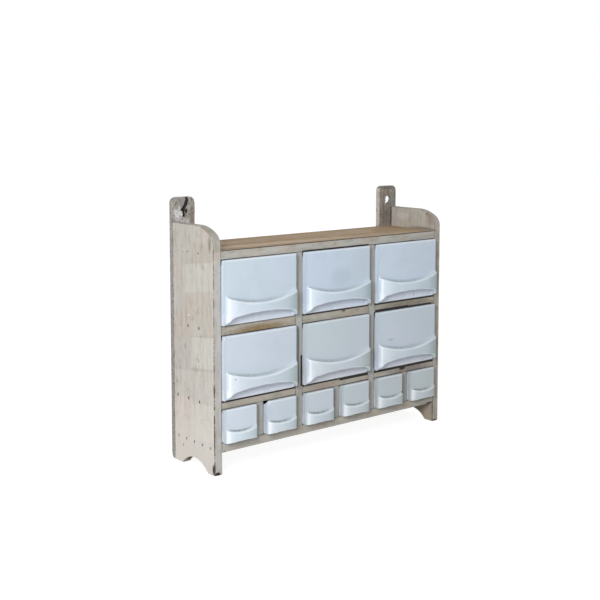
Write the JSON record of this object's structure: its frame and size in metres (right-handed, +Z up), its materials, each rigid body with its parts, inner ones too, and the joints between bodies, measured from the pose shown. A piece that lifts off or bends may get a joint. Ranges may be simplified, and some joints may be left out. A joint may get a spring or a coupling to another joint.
{
  "type": "spice drawer cabinet",
  "caption": "Wall-hung or table-top spice cabinet: painted board carcass on arched feet, hanging straps at the back, rows of porcelain drawers with moulded lip pulls.",
  "frame": {"origin": "on the floor, in the middle of the footprint: halfway across the width, and halfway from the pulls' front to the straps' back", "axes": "+Z up, +X to the right as seen from the front, -Y to the front, the way the drawers pull out"},
  "size_m": [0.6, 0.17, 0.5175],
  "materials": {
    "painted_wood": "worn matte paint",
    "bare_wood": "unpainted, aged",
    "nail_iron": "rusted wire nails",
    "porcelain": "glazed"
  },
  "bodies": {
    "carcass": {"left_side": "painted_wood", "right_side": "painted_wood", "top_board": "painted_wood", "upper_shelf": "painted_wood", "lower_shelf": "painted_wood", "bottom_board": "painted_wood", "divider_left": "painted_wood", "divider_right": "painted_wood", "small_divider_left": "painted_wood", "small_divider_middle": "painted_wood", "small_divider_right": "painted_wood", "back_panel": "bare_wood", "hanging_strap_left": "painted_wood", "hanging_strap_right": "painted_wood", "side_nails_left": "nail_iron", "side_nails_right": "nail_iron", "strap_nails": "nail_iron", "back_nails": "nail_iron"},
    "upper_drawer_left": {"upper_drawer_left": "porcelain"},
    "upper_drawer_middle": {"upper_drawer_middle": "porcelain"},
    "upper_drawer_right": {"upper_drawer_right": "porcelain"},
    "lower_drawer_left": {"lower_drawer_left": "porcelain"},
    "lower_drawer_middle": {"lower_drawer_middle": "porcelain"},
    "lower_drawer_right": {"lower_drawer_right": "porcelain"},
    "small_drawer_1": {"small_drawer_1": "porcelain"},
    "small_drawer_2": {"small_drawer_2": "porcelain"},
    "small_drawer_3": {"small_drawer_3": "porcelain"},
    "small_drawer_4": {"small_drawer_4": "porcelain"},
    "small_drawer_5": {"small_drawer_5": "porcelain"},
    "small_drawer_6": {"small_drawer_6": "porcelain"}
  },
  "joints": [
    {"name": "upper_drawer_left_slide", "type": "slide", "parent": "carcass", "child": "upper_drawer_left", "axis": [0, -1, 0], "range_m": [0, 0.1]},
    {"name": "upper_drawer_middle_slide", "type": "slide", "parent": "carcass", "child": "upper_drawer_middle", "axis": [0, -1, 0], "range_m": [0, 0.1]},
    {"name": "upper_drawer_right_slide", "type": "slide", "parent": "carcass", "child": "upper_drawer_right", "axis": [0, -1, 0], "range_m": [0, 0.1]},
    {"name": "lower_drawer_left_slide", "type": "slide", "parent": "carcass", "child": "lower_drawer_left", "axis": [0, -1, 0], "range_m": [0, 0.1]},
    {"name": "lower_drawer_middle_slide", "type": "slide", "parent": "carcass", "child": "lower_drawer_middle", "axis": [0, -1, 0], "range_m": [0, 0.1]},
    {"name": "lower_drawer_right_slide", "type": "slide", "parent": "carcass", "child": "lower_drawer_right", "axis": [0, -1, 0], "range_m": [0, 0.1]},
    {"name": "small_drawer_1_slide", "type": "slide", "parent": "carcass", "child": "small_drawer_1", "axis": [0, -1, 0], "range_m": [0, 0.1]},
    {"name": "small_drawer_2_slide", "type": "slide", "parent": "carcass", "child": "small_drawer_2", "axis": [0, -1, 0], "range_m": [0, 0.1]},
    {"name": "small_drawer_3_slide", "type": "slide", "parent": "carcass", "child": "small_drawer_3", "axis": [0, -1, 0], "range_m": [0, 0.1]},
    {"name": "small_drawer_4_slide", "type": "slide", "parent": "carcass", "child": "small_drawer_4", "axis": [0, -1, 0], "range_m": [0, 0.1]},
    {"name": "small_drawer_5_slide", "type": "slide", "parent": "carcass", "child": "small_drawer_5", "axis": [0, -1, 0], "range_m": [0, 0.1]},
    {"name": "small_drawer_6_slide", "type": "slide", "parent": "carcass", "child": "small_drawer_6", "axis": [0, -1, 0], "range_m": [0, 0.1]}
  ]
}
